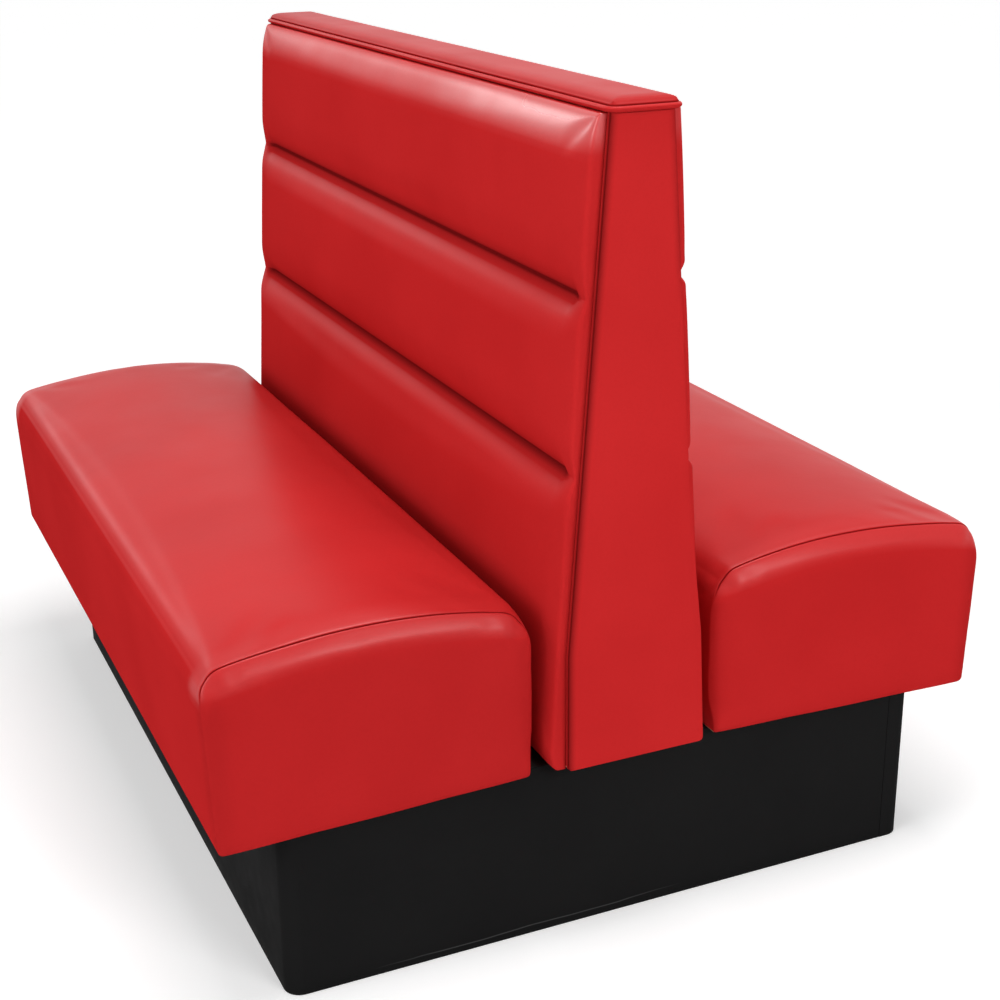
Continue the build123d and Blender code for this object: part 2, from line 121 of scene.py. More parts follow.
def spread_range(tree, value, low, high, start=0.0, end=1.0):
    """A node's value spread from one range to another, and held within it."""
    inputs = {"Value": value, "From Min": low, "From Max": high, "To Min": start, "To Max": end}
    return add_node(tree, "ShaderNodeMapRange", inputs).outputs["Result"]


def add_bump(tree, shader, height, distance, strength=1.0):
    """Relief of that depth in metres, over any relief that the shader already has."""
    inputs = {"Height": height, "Distance": distance, "Strength": strength}
    if shader.inputs["Normal"].is_linked:
        inputs["Normal"] = shader.inputs["Normal"].links[0].from_socket
    bump = add_node(tree, "ShaderNodeBump", inputs)
    tree.links.new(bump.outputs["Normal"], shader.inputs["Normal"])


def make_timber(name, pale, dark, grain_axis, ply_axis=None):
    """Wood with long grain and pores. Plywood also shows its plies on its cut edges."""
    finish, tree, shader, place = start_finish(name, roughness=0.55, specular=0.35)
    squeeze = [grain_along if axis == grain_axis else grain_across for axis in range(3)]
    along = add_node(tree, "ShaderNodeMapping", {"Vector": place, "Scale": squeeze}).outputs[0]
    grain = cloudy(tree, along, 1.0, 6.0, Roughness=0.62, Distortion=0.6)
    pores = cloudy(tree, along, 7.0, 3.0)
    colour = mix_colours(tree, spread_range(tree, grain, 0.3, 0.7), dark, pale)
    pore_mask = spread_range(tree, pores, 0.62, 0.72)
    colour = mix_colours(tree, pore_mask, colour, [0.55 * part for part in dark])
    if ply_axis is not None:
        across = one_axis(tree, place, ply_axis)
        wave = calculate(tree, "SINE", calculate(tree, "MULTIPLY", across, 2 * math.pi / ply_pair))
        normal = add_node(tree, "ShaderNodeNewGeometry").outputs["Normal"]
        facing = calculate(tree, "ABSOLUTE", one_axis(tree, normal, ply_axis))
        cut_edge = spread_range(tree, facing, 0.6, 0.4)
        dark_ply = spread_range(tree, wave, -0.2, 0.5, 0.0, 0.6)
        band = calculate(tree, "MULTIPLY", dark_ply, cut_edge)
        colour = mix_colours(tree, band, colour, [0.45 * part for part in dark])
    tree.links.new(colour, shader.inputs["Base Color"])
    add_bump(tree, shader, pores, pore_depth)
    return finish


def dress(finish, *names):
    """Give nodes of the frame their finish."""
    for name in names:
        mesh = nodes[name].data
        mesh.materials.clear()
        mesh.materials.append(finish)


plywood_across_y = make_timber("plywood_long_boards", birch, birch_dark, 0, ply_axis=1)
plywood_across_x = make_timber("plywood_cross_boards", birch, birch_dark, 1, ply_axis=0)
black_top_plywood = make_timber("plywood_black_top", black_top_wood, black_top_wood_dark, 0, ply_axis=2)
hardwood_upright = make_timber("hardwood_posts", post_wood, post_wood_dark, 2)

dress(plywood_across_y, "plinth_front_board", "plinth_rear_board")
dress(
    plywood_across_x,
    "plinth_end_board_near",
    "plinth_end_board_far",
    "plinth_cross_rail_near",
    "plinth_cross_rail_far",
)
dress(black_top_plywood, "plinth_top_front", "plinth_top_rear")
dress(hardwood_upright, "plinth_corner_posts")


# Kick cover
# Black vinyl-faced sheet wraps the plinth in two lengths, glued on. The front length turns both
# front corners and runs along the ends to a seam near the rear corners, and the rear one closes it.

plinth_length = 1.162
plinth_depth = 0.895
plinth_corner = 0.022
ridge_height = 0.24329
floor_pitch = 10 / 395
kick_sheet = 0.0015
kick_edge_round = 0.0004
kick_top_gap = 0.0002
kick_seam = plinth_depth / 2 - 0.028
kick_seam_gap = 0.0006
kick_wraps = (("front", 0.0007, kick_seam - kick_seam_gap, 1), ("rear", 0.0003, kick_seam, -1))
rear_slack = 0.008
kick_black = (0.0105, 0.0105, 0.0108)
kick_black_worn = (0.0145, 0.0143, 0.0143)
scuff_grey = (0.06, 0.06, 0.06)
scuff_height = 0.0125
scuff_slant = 0.008
scuff_wander = 0.0015
scuff_ends = ((-0.34, -0.24), (0.1, 0.0))


def seat_floor(depth):
    """Height of a seat's underside, at a distance from the middle of the booth."""
    return ridge_height - abs(depth) * floor_pitch


def rounded_loop(length, depth, corner, steps, along_cuts, across_cuts):
    """A flat closed loop of edges on the floor: a rectangle with rounded corners, cut up finely."""
    bm = bmesh.new()
    bmesh.ops.create_grid(bm, x_segments=1, y_segments=1, size=0.5)
    bmesh.ops.scale(bm, vec=(length, depth, 1), verts=bm.verts)
    bmesh.ops.bevel(
        bm,
        geom=bm.verts[:],
        offset=corner,
        affect="VERTICES",
        segments=steps,
        profile=0.5,
        material=-1,
    )
    bmesh.ops.delete(bm, geom=bm.faces[:], context="FACES_ONLY")
    for axis, cuts in ((0, along_cuts), (1, across_cuts)):
        straight = [e for e in bm.edges if abs((e.verts[0].co - e.verts[1].co)[axis]) > 4 * corner]
        bmesh.ops.subdivide_edges(bm, edges=straight, cuts=cuts)
    return bm


def finish_piece(name, bm, finish):
    """Turn a finished bmesh into a smooth piece that rides on the booth's frame."""
    mesh = bpy.data.meshes.new(name)
    bm.to_mesh(mesh)
    bm.free()
    mesh.materials.append(finish)
    mesh.polygons.foreach_set("use_smooth", [True] * len(mesh.polygons))
    piece = bpy.data.objects.new(name, mesh)
    bpy.context.scene.collection.objects.link(piece)
    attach(piece, "root")
    return piece


def make_kick_finish():
    """Satin black vinyl with a fine grain, faint handling marks and one scuff above its hem."""
    finish, tree, shader, place = start_finish("black_kick_vinyl", specular=0.002)
    colour = mix_colours(tree, cloudy(tree, place, 6.0, 4.0), kick_black, kick_black_worn)
    along_end = one_axis(tree, place, 1)
    slant = calculate(tree, "MULTIPLY_ADD", along_end, scuff_slant, scuff_height)
    wander = cloudy(tree, place, 9.0)
    wander = spread_range(tree, wander, 0.3, 0.7, -scuff_wander, scuff_wander)
    line = calculate(tree, "ADD", slant, wander)
    off_line = calculate(tree, "SUBTRACT", one_axis(tree, place, 2), line)
    off_line = calculate(tree, "ABSOLUTE", off_line)
    scuff = spread_range(tree, off_line, 0.0011, 0.0002)
    for limit, full in scuff_ends:
        scuff = calculate(tree, "MULTIPLY", scuff, spread_range(tree, along_end, limit, full))
    colour = mix_colours(tree, scuff, colour, scuff_grey)
    tree.links.new(colour, shader.inputs["Base Color"])
    marks = spread_range(tree, cloudy(tree, place, 30.0, 5.0), 0.3, 0.7, 0.4, 0.52)
    tree.links.new(marks, shader.inputs["Roughness"])
    add_bump(tree, shader, pebbled(tree, place, 850.0), 0.00006, 0.5)
    add_bump(tree, shader, cloudy(tree, place, 5.0), 0.0008, 0.6)
    return finish


kick_finish = make_kick_finish()
for name, hem, seam, other_side in kick_wraps:
    bm = rounded_loop(plinth_length, plinth_depth, plinth_corner, 8, 47, 35)
    rear_bend = [v for v in bm.verts if v.co.y > plinth_depth / 2 - plinth_corner - 0.001]
    bmesh.ops.translate(bm, vec=(0, rear_slack, 0), verts=rear_bend)
    bmesh.ops.translate(bm, vec=(0, 0, hem), verts=bm.verts)
    walls = bmesh.ops.extrude_edge_only(bm, edges=bm.edges[:])["geom"]
    for vert in walls:
        if isinstance(vert, bmesh.types.BMVert):
            vert.co.z = seat_floor(vert.co.y) - kick_top_gap
    bmesh.ops.bisect_plane(
        bm,
        geom=bm.verts[:] + bm.edges[:] + bm.faces[:],
        plane_co=(0, seam, 0),
        plane_no=(0, other_side, 0),
        clear_outer=True,
    )
    upright = [e for e in bm.edges if abs(e.verts[0].co.z - e.verts[1].co.z) > 0.1]
    bmesh.ops.subdivide_edges(bm, edges=upright, cuts=9, use_grid_fill=True)
    bmesh.ops.recalc_face_normals(bm, faces=bm.faces)
    if bm.faces[0].normal.dot(bm.faces[0].calc_center_median() * Vector((1, 1, 0))) < 0:
        bmesh.ops.reverse_faces(bm, faces=bm.faces)
    bmesh.ops.solidify(bm, geom=bm.faces[:], thickness=kick_sheet)
    bmesh.ops.recalc_face_normals(bm, faces=bm.faces)
    kick_cover = finish_piece(f"kick_cover_{name}_wrap", bm, kick_finish)
    edge_round = kick_cover.modifiers.new("edge", "BEVEL")
    edge_round.width = kick_edge_round
    edge_round.segments = 2
    edge_round.limit_method = "ANGLE"
    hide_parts(f"kick_cover_{name}")


# Seat frames
# Each seat is a hardwood frame under a plywood deck, screwed down to the plinth from below.
# It is closed all round by its cover, so it shows only with the upholstery off.

rail_wood = (0.57, 0.39, 0.22)
rail_wood_dark = (0.39, 0.24, 0.13)
zinc_dull = (0.5, 0.5, 0.49)
zinc_bright = (0.72, 0.7, 0.66)

plywood_deck = make_timber("plywood_decks", birch, birch_dark, 0, ply_axis=2)
hardwood_long = make_timber("hardwood_long_rails", rail_wood, rail_wood_dark, 0)
hardwood_cross = make_timber("hardwood_cross_rails", rail_wood, rail_wood_dark, 1)


def make_zinc():
    """Zinc-plated steel with a faint cloudy brushing."""
    finish, tree, shader, place = start_finish("zinc_plated_screws", metallic=1.0)
    brushing = cloudy(tree, place, 420.0, 3.0)
    colour = mix_colours(tree, brushing, zinc_dull, zinc_bright)
    tree.links.new(colour, shader.inputs["Base Color"])
    tree.links.new(spread_range(tree, brushing, 0.3, 0.7, 0.28, 0.45), shader.inputs["Roughness"])
    add_bump(tree, shader, brushing, 0.00008, 0.5)
    return finish


for name in ("front", "rear"):
    dress(plywood_deck, f"{name}_seat_deck")
    dress(hardwood_long, f"{name}_seat_front_rail", f"{name}_seat_back_rail")
    dress(
        hardwood_cross,
        f"{name}_seat_end_rail_near",
        f"{name}_seat_end_rail_far",
        f"{name}_seat_centre_rail",
    )
dress(make_zinc(), "seat_screws", "back_screws", "cap_screws", "end_board_screws")


# Dust covers
# A sheet of black non-woven cloth closes the underside of each seat. It is pulled tight over the
# rails and stapled all round, so that it follows the pitch of the seat's floor.

sides = (("front", -1), ("rear", 1))
dust_reach = 0.592
dust_back = 0.142
dust_front = 0.513
dust_sheet = 0.0004
dust_lift = 0.0003
dust_ripple = 0.00008
dust_black = (0.008, 0.008, 0.009)
dust_lint = (0.03, 0.03, 0.032)


def make_dust_cloth():
    """Black non-woven cloth, matted with fine bonded dots."""
    finish, tree, shader, place = start_finish("dust_cloth_black", roughness=0.92, specular=0.15)
    felt = cloudy(tree, place, 700.0, 6.0, Roughness=0.7)
    dots = pebbled(tree, place, 330.0, randomness=0.1)
    tree.links.new(mix_colours(tree, felt, dust_black, dust_lint), shader.inputs["Base Color"])
    shader.inputs["Sheen Weight"].default_value = 0.15
    add_bump(tree, shader, dots, 0.0002, 0.7)
    add_bump(tree, shader, felt, 0.0001, 0.6)
    return finish


dust_cloth = make_dust_cloth()
for name, side in sides:
    bm = bmesh.new()
    bmesh.ops.create_grid(bm, x_segments=74, y_segments=24, size=0.5)
    width = dust_front - dust_back
    bmesh.ops.scale(bm, vec=(2 * dust_reach, width, 1), verts=bm.verts)
    bmesh.ops.translate(bm, vec=(0, side * (dust_front + dust_back) / 2, 0), verts=bm.verts)
    for vert in bm.verts:
        ripple = dust_ripple * noise.noise(Vector((vert.co.x * 14, vert.co.y * 22, side)))
        vert.co.z = seat_floor(vert.co.y) + dust_lift + ripple
    dust_cover = finish_piece(f"{name}_dust_cloth", bm, dust_cloth)
    thick = dust_cover.modifiers.new("thickness", "SOLIDIFY")
    thick.thickness = dust_sheet
    thick.offset = 0
    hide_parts(f"{name}_seat_dust_cover")


# Seat cushions
# Each seat is upholstered as one box: a vinyl cover runs up the front, over the crowned foam and
# down the back, and is sewn at each end to a soft panel that rolls over from the seam to the end.

seat_reach = 0.604
seat_back = 0.130
seat_front = 0.525
seat_swell = 0.009
seat_lift = 0.0007
seat_ripple = 0.0006
back_swell = 0.0055
back_swell_share = (0.02, 0.3)
crown_height = 0.4895
crown_depth = 0.325
crown_radius = 0.70
crown_rise = 0.002
front_shoulder = 0.025
back_shoulder = 0.030
front_hem = 0.006
back_hem = 0.002

seam_reach = 0.5895
corner_reach = 0.5985
back_corner_reach = 0.590
corner_run = 0.03
top_heights = (0.41, 0.452)
back_corner_heights = (0.25, 0.29)
back_corner_depths = (0.12, 0.18)
foot_height = 0.26
foot_roll = 0.007
corner_roll = 0.012
top_roll = 0.013
back_roll = 0.014
roll_steepness = 1.35
seam_dip = 0.0080
seam_dip_front = 0.35
seam_dip_run = 0.036
seam_dip_end_run = 0.05
seam_half_width = 0.0014
seam_press = 0.0024
seam_heights = (0.424, 0.446)

seam_polish = 0.26
seam_polish_edge = (0.008, 0.004)
crown_polish = 0.13
crown_polish_edge = (0.040, 0.012)
polish_below_crown = (0.036, 0.024)
# Painted shade down the seats' upright front corners.
corner_dark = 0.13
corner_dark_reach = 0.034
corner_dark_run = 0.026
corner_dark_top = 0.45

outline_steps = 700
cloth_steps = 20
cloth_stiffness = 25.0
seat_pressure = 0.9
seat_travel = 0.0016


def make_red_vinyl(name, bright, deep, gloss=0.38, sheen_level=0.105, sheen_from=(0.1, 0.6)):
    """Satin red upholstery vinyl: fine leather grain, slow changes of tone and painted shade in
    creases.

    Level places are polished by use up to sheen_level, upright ones keep their matt grain, and
    places with edge_wear are rubbed smooth. Where painted shade darkens creases and folds, there is
    no sheen.
    """
    finish, tree, shader, place = start_finish(name)
    clouds = spread_range(tree, cloudy(tree, place, 4.0, 3.0), 0.3, 0.7)
    tone = mix_colours(tree, clouds, deep, bright)
    flecks = spread_range(tree, cloudy(tree, place, 260.0, 3.0), 0.45, 0.75, 0.0, 0.12)
    tone = mix_colours(tree, flecks, tone, [0.8 * part for part in deep])
    # Painted shade: the tone is darkened in creases, grooves and folds, by an attribute that each
    # piece sets.
    painted_crease_shade = add_node(tree, "ShaderNodeAttribute", attribute_name="painted_shade").outputs["Fac"]
    tone = mix_colours(tree, painted_crease_shade, tone, [0.2 * part for part in deep])
    tree.links.new(tone, shader.inputs["Base Color"])
    facing = one_axis(tree, add_node(tree, "ShaderNodeNewGeometry").outputs["Normal"], 2)
    worn = add_node(tree, "ShaderNodeAttribute", attribute_name="edge_wear").outputs["Fac"]
    sheen = calculate(tree, "ADD", spread_range(tree, facing, *sheen_from, 0.0, sheen_level), worn)
    clear = spread_range(tree, painted_crease_shade, 0.02, 0.16, 1.0, 0.0)
    sheen = calculate(tree, "MULTIPLY", sheen, clear)
    tree.links.new(sheen, shader.inputs["Specular IOR Level"])
    uneven = cloudy(tree, place, 11.0, 4.0)
    rough = spread_range(tree, uneven, 0.3, 0.7, gloss - 0.025, gloss + 0.035)
    matt = spread_range(tree, facing, 0.08, 0.45, 0.2, 0.0)
    rubbed = spread_range(tree, worn, 0, 1, 0.0, -0.13)
    for change in (matt, rubbed):
        rough = calculate(tree, "ADD", rough, change)
    tree.links.new(rough, shader.inputs["Roughness"])
    add_bump(tree, shader, pebbled(tree, place, 900.0, feature="SMOOTH_F1"), 0.00007, 0.45)
    add_bump(tree, shader, cloudy(tree, place, 130.0, 5.0), 0.00025, 0.25)
    return finish


seat_vinyls = {
    "front": make_red_vinyl(
        "red_vinyl_front_seat",
        (0.53, 0.0205, 0.0215),
        (0.475, 0.0165, 0.0175),
        sheen_from=(0.5, 0.94),
    ),
    # The rear seat's copy of the vinyl is lighter than the front seat's: painted light.
    "rear": make_red_vinyl(
        "red_vinyl_rear_seat_painted_lighter",
        (0.56, 0.0210, 0.0220),
        (0.505, 0.0170, 0.0180),
        sheen_level=0.080,
        sheen_from=(0.5, 0.94),
    ),
}


def draw_together(share, pull):
    """Cut places bunched towards both edges of a piece, where it turns most."""
    return (1 - pull) * share + pull * (0.5 - 0.5 * math.cos(math.pi * share))


block_face = 1 - 1e-6


def cut_block(cuts_x, cuts_y, cuts_z):
    """A block from -1 to 1 with its faces cut into even grids."""
    bm = bmesh.new()
    bmesh.ops.create_cube(bm, size=2)
    for axis, cuts in enumerate((cuts_x, cuts_y, cuts_z)):
        lined_up = [e for e in bm.edges if abs((e.verts[0].co - e.verts[1].co)[axis]) > 1.9]
        bmesh.ops.subdivide_edges(bm, edges=lined_up, cuts=cuts, use_grid_fill=True)
    return bm


def quarter_round(distance, width):
    """Rise of a quarter round from 0 at its edge to 1 at its width."""
    return math.sqrt(max(0.0, 1 - (1 - min(distance / width, 1)) ** 2))


def ease(value, low, high):
    """A smooth step from 0 at low to 1 at high."""
    share = min(max((value - low) / (high - low), 0.0), 1.0)
    return share * share * (3 - 2 * share)


def round_off(side_gap, level_gap, radius):
    """How far a place moves in from each of two edges, where their corner is rounded."""
    if side_gap >= radius or level_gap >= radius:
        return 0.0, 0.0
    p = 1 - side_gap / radius
    q = 1 - level_gap / radius
    keep = max(p, q) / math.hypot(p, q)
    return radius * p * (1 - keep), radius * q * (1 - keep)


def seat_point(x, across, up):
    """A point of a seat's section at x: across from its back to its front, up from its floor."""
    front = seat_front + seat_swell * up
    back = seat_back - back_swell * ease(up, *back_swell_share)
    y = back + (front - back) * across
    floor = seat_floor(y) + seat_lift
    top = crown_height + crown_rise * (1 - (x / seat_reach) ** 2)
    top -= (y - crown_depth) ** 2 / crown_radius / 2
    z = floor + (top - floor) * up
    if up > 0.5:
        radius = back_shoulder if across < 0.5 else front_shoulder
    else:
        radius = back_hem if across < 0.5 else front_hem
    shift_y, shift_z = round_off(min(y - back, front - y), min(top - z, z - floor), radius)
    y += shift_y if y - back < front - y else -shift_y
    z += -shift_z if up > 0.5 else shift_z
    return y, z


def nearest_finder(places):
    """A finder of the nearest one among some places."""
    finder = KDTree(len(places))
    for index, place in enumerate(places):
        finder.insert(place, index)
    finder.balance()
    return finder


def find_seat_outline():
    """A finder of the nearest place on a seat's outline at its end seam."""
    outline = []
    for step in range(outline_steps + 1):
        share = draw_together(step / outline_steps, 0.6)
        for across, up in ((1, share), (0, share), (share, 1), (share, 0)):
            outline.append((0, *seat_point(seam_reach, across, up)))
    return nearest_finder(outline)


def swell(piece, held, pressure, travel):
    """Let a cover swell over its foam as cloth under pressure, held where it is sewn or stapled."""
    scene = bpy.context.scene
    group = piece.vertex_groups.new(name="held")
    group.add(held, 1.0, "REPLACE")
    cloth = piece.modifiers.new("cloth", "CLOTH")
    cloth.settings.quality = 6
    cloth.settings.tension_stiffness = cloth_stiffness
    cloth.settings.compression_stiffness = cloth_stiffness
    cloth.settings.shear_stiffness = cloth_stiffness / 3
    cloth.settings.bending_stiffness = 1.5
    cloth.settings.use_pressure = True
    cloth.settings.uniform_pressure_force = pressure
    cloth.settings.effector_weights.gravity = 0
    cloth.settings.vertex_group_mass = "held"
    cloth.collision_settings.use_collision = False
    for step in range(1, cloth_steps + 1):
        scene.frame_set(step)
    view = bpy.context.evaluated_depsgraph_get()
    swollen = bpy.data.meshes.new_from_object(piece.evaluated_get(view))
    piece.modifiers.remove(cloth)
    piece.vertex_groups.remove(group)
    for vert, moved in zip(piece.data.vertices, swollen.vertices):
        shift = moved.co - vert.co
        if shift.length > 1e-7:
            vert.co += shift * (travel * math.tanh(shift.length / travel) / shift.length)
    bpy.data.meshes.remove(swollen)
    scene.frame_set(1)


def sew_seam(piece, depth_at, shade_at, wear_at, half_width):
    """Press a stitched seam into the edges marked as one, as deep as depth_at gives at each place.

    The vinyl also gets painted shade, deepest in the pressed seam, and polish, as shade_at and
    wear_at give at each place.
    """
    bm = bmesh.new()
    bm.from_mesh(piece.data)
    shade = bm.verts.layers.float.new("painted_shade")
    wear = bm.verts.layers.float.new("edge_wear")
    made = bmesh.ops.bevel(
        bm,
        geom=[e for e in bm.edges if e.seam],
        offset=half_width,
        affect="EDGES",
        segments=4,
        profile=0.5,
        material=-1,
    )
    strip = set(made["faces"])
    bm.normal_update()
    for vert in bm.verts:
        vert[shade] = shade_at(vert.co)
        vert[wear] = wear_at(vert.co)
    inner = [v for v in made["verts"] if v.is_valid and all(f in strip for f in v.link_faces)]
    rim = {v for f in strip for v in f.verts} - set(inner)
    pressed = []
    for vert in inner:
        beside_rim = any(e.other_vert(vert) in rim for e in vert.link_edges)
        share = 0.45 if beside_rim else 1.0
        depth = depth_at(vert.co)
        # Painted shade in the pressed seam, darkest where it is pressed deepest.
        vert[shade] = max(vert[shade], share * min(1.0, depth / 0.0022))
        pressed.append((vert, vert.normal * depth * share))
    for vert, push in pressed:
        vert.co -= push
    for edge in bm.edges:
        edge.seam = False
    bm.to_mesh(piece.data)
    bm.free()
    piece.data.polygons.foreach_set("use_smooth", [True] * len(piece.data.polygons))


def subdivide_piece(piece, levels=1):
    """Smooth a piece with a subdivision surface."""
    finer = piece.modifiers.new("smooth", "SUBSURF")
    finer.levels = levels
    finer.render_levels = levels


def seam_depth(place):
    """Depth of the end seam, which shows along the crown and not down the corners."""
    return seam_press * ease(place.z, *seam_heights)


def corner_shade(place):
    """Share of painted shade down the upright front corners, where the vinyl faces away from the
    light.
    """
    from_corner = math.hypot(abs(place.x) - seat_reach, abs(place.y) - seat_front - 0.006)
    near_corner = ease(corner_dark_reach - from_corner, 0, corner_dark_run)
    return corner_dark * near_corner * ease(corner_dark_top - place.z, 0, 0.03)


def seam_wear(place):
    """Polish along the crown's ends: brightest at the seam and over the roll, and less inside."""
    seam_start, seam_full = (seam_reach - inward for inward in seam_polish_edge)
    crown_start, crown_full = (seam_reach - inward for inward in crown_polish_edge)
    at_seam = seam_polish * ease(abs(place.x), seam_start, seam_full)
    beside = crown_polish * ease(abs(place.x), crown_start, crown_full)
    crown = crown_height - (abs(place.y) - crown_depth) ** 2 / crown_radius / 2
    near_top = ease(place.z, *(crown - below for below in polish_below_crown))
    return max(at_seam, beside) * near_top


seat_outline = find_seat_outline()


def make_seat_cushion(name, side, seed):
    """One seat's cover over its foam, with its two end panels sewn on."""
    bm = cut_block(104, 40, 24)
    middle_y = (seat_back + seat_front) / 2
    middle_z = (seat_floor(middle_y) + crown_height) / 2
    held_layer = bm.verts.layers.int.new("held")
    for edge in bm.edges:
        edge.seam = all(
            abs(v.co.x) > block_face and max(abs(v.co.y), abs(v.co.z)) > block_face
            for v in edge.verts
        )
    for vert in bm.verts:
        u, v, w = vert.co
        rim = max(abs(v), abs(w)) > block_face
        at_end = abs(u) > block_face
        x = seam_reach * (2 * draw_together((u + 1) / 2, 0.72) - 1)
        y, z = seat_point(x, draw_together((v + 1) / 2, 0.6), draw_together((w + 1) / 2, 0.5))
        (_, near_y, near_z), _, gap = seat_outline.find((0, y, z))
        topness = ease(near_z, *top_heights)
        at_back = ease(middle_y - near_y, *back_corner_depths) * ease(near_z, *back_corner_heights)
        upright_back = at_back * (1 - topness)
        from_front = ease(seat_front - near_y, 0.0, 0.10)
        full_dip = seam_dip * topness * (seam_dip_front + (1 - seam_dip_front) * from_front)
        reach = corner_reach + (seam_reach - corner_reach) * topness
        reach -= (reach - back_corner_reach) * upright_back
        if at_end:
            roll = foot_roll
            if near_z > foot_height:
                roll = corner_roll + top_roll * topness + back_roll * upright_back
            turned = quarter_round(gap, roll)
            turned += (1 - (1 - min(gap / roll, 1)) ** roll_steepness - turned) * topness
            x = math.copysign(reach + (seat_reach - reach) * turned, u)
            dip = full_dip * max(0.0, 1 - gap / seam_dip_end_run)
        else:
            inward = seam_reach - abs(x)
            dip = full_dip * max(0.0, 1 - inward / seam_dip_run) ** 2
            x += math.copysign((reach - seam_reach) * max(0.0, 1 - inward / corner_run), x)
        toward = Vector((0, middle_y - y, middle_z - z)).normalized()
        y += toward.y * dip
        z += toward.z * dip
        vert.co = (x, side * y, z)
        vert[held_layer] = int(w < -block_face or (at_end and rim))
    if side < 0:
        bmesh.ops.reverse_faces(bm, faces=bm.faces)
    held = [vert.index for vert in bm.verts if vert[held_layer]]
    cushion = finish_piece(f"{name}_seat_cushion", bm, seat_vinyls[name])
    swell(cushion, held, seat_pressure, seat_travel)
    for vert in cushion.data.vertices:
        place = Vector((vert.co.x * 5, vert.co.y * 7, vert.co.z * 7 + seed))
        above = ease(vert.co.z - seat_floor(vert.co.y), 0.01, 0.06)
        vert.co += vert.normal * seat_ripple * above * noise.noise(place)
    sew_seam(cushion, seam_depth, corner_shade, seam_wear, seam_half_width)
    subdivide_piece(cushion)
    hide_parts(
        f"{name}_seat_cover",
        f"{name}_seat_foam",
        f"{name}_seat_end_panel_near",
        f"{name}_seat_end_panel_far",
    )


for (name, side), seed in zip(sides, (3.0, 11.0)):
    make_seat_cushion(name, side, seed)


# Back frame
# Three plywood gussets stand on the plinth with a hardwood rail between their feet and another
# over their heads. A thin plywood panel on each side carries the channels.

hardwood_back = make_timber("hardwood_back_rails", rail_wood, rail_wood_dark, 0)
plywood_gusset = make_timber("plywood_gussets", birch, birch_dark, 2, ply_axis=0)
plywood_panel = make_timber("plywood_panels", birch, birch_dark, 0, ply_axis=1)
dress(hardwood_back, "back_bottom_rail", "back_top_rail")
dress(plywood_gusset, "back_gusset_near", "back_gusset_far", "back_gusset_centre")
dress(plywood_gusset, "back_end_board_near", "back_end_board_far")
dress(plywood_panel, "back_panel_front", "back_panel_rear")


# Channelled backs
# Each side of the back is a foam pad under one vinyl cover, tied down along two grooves into
# three channels. The ties stop short of the ends, where the vinyl gathers in small tucks.

pad_reach = 0.609
pad_foot = 0.2455
pad_head = 1.0402
panel_foot = 0.086
panel_head = 0.0365
panel_head_height = 1.035
panel_height = 0.788
grooves = (0.630, 0.846)
pad_edges = (pad_foot, *grooves, pad_head)
groove_sag = {
    "front": ((0.0045, 0.0015), (0.0075, 0.0045)),
    "rear": ((0.0, 0.0), (-0.0030, -0.0030)),
}
groove_floor = 0.0055
groove_end = {"front": 0.0145, "rear": 0.0075}
groove_runs = {"front": (0.040, 0.034), "rear": (0.015, 0.013)}
groove_steepness = 1.5
head_edge = {"front": (0.0100, 0.046), "rear": (0.0185, 0.016)}
foot_edge = 0.0125
foot_run = 0.036
channel_crowns = {"front": (0.0265, 0.0245, 0.0240), "rear": (0.0240, 0.0215, 0.0210)}
channel_belly = 0.0012
channel_rows = 30
end_run = 0.036
end_thin = 0.76
tie_stop = 0.032
tie_end = (0.012, tie_stop + 0.008)

# Painted shade in and beside the tied grooves of the backs.
groove_dark = 0.86
groove_dark_reach = 0.0060
over_dark = 0.40
over_dark_run = 0.026
under_dark = 0.38
under_dark_run = 0.027
top_polish = {"front": 1.0, "rear": 0.3}
top_polish_far = 0.15
top_polish_along = (0.05, 0.58)
top_polish_heights = (pad_head - 0.046, pad_head - 0.016)

back_pressure = 2.0
back_travel = 0.0022
# The backs' copy of the vinyl is lighter than the seats': painted light.
back_vinyl = make_red_vinyl(
    "red_back_vinyl_painted_lighter", (0.575, 0.0225, 0.0235), (0.515, 0.0180, 0.0190), sheen_level=0.065
)


def panel_face(height):
    """Distance from the middle of the booth to the outer face of a back panel, at a height."""
    return panel_head + (panel_head_height - height) * (panel_foot - panel_head) / panel_height


def channel_lines():
    """Heights of the cuts up a pad, bunched at its grooves and its two edges."""
    lines = []
    for low, high in zip(pad_edges, pad_edges[1:]):
        for step in range(channel_rows):
            lines.append(low + (high - low) * draw_together(step / channel_rows, 0.86))
    return [*lines, pad_head]


def shoulder_rise(distance, run):
    """Rise beside a tied groove: a straight slope that turns over at the end of its run."""
    return 1 - (1 - min(distance / run, 1)) ** groove_steepness


def pad_thickness(name, x, z):
    """Thickness of a pad over its plywood panel."""
    index = sum(z > groove for groove in grooves)
    low, high = pad_edges[index], pad_edges[index + 1]
    from_end = pad_reach - abs(x)
    rolled = end_thin + (1 - end_thin) * quarter_round(from_end, end_run)
    tie = groove_end[name] + (groove_floor - groove_end[name]) * ease(from_end, *tie_end)
    crown = channel_crowns[name][index] * rolled
    crown += channel_belly * (1 - (2 * (z - low) / (high - low) - 1) ** 2)
    low_run, high_run = groove_runs[name]
    if index > 0:
        low_edge, rise_low = tie, shoulder_rise(z - low, low_run)
    else:
        low_edge, rise_low = foot_edge, quarter_round(z - low, foot_run)
    if index < 2:
        high_edge, rise_high = tie, shoulder_rise(high - z, high_run)
    else:
        high_edge, head_run = head_edge[name]
        rise_high = quarter_round(high - z, head_run)
    from_low = low_edge + (crown - low_edge) * rise_low
    from_high = high_edge + (crown - high_edge) * rise_high
    return min(from_low, from_high)


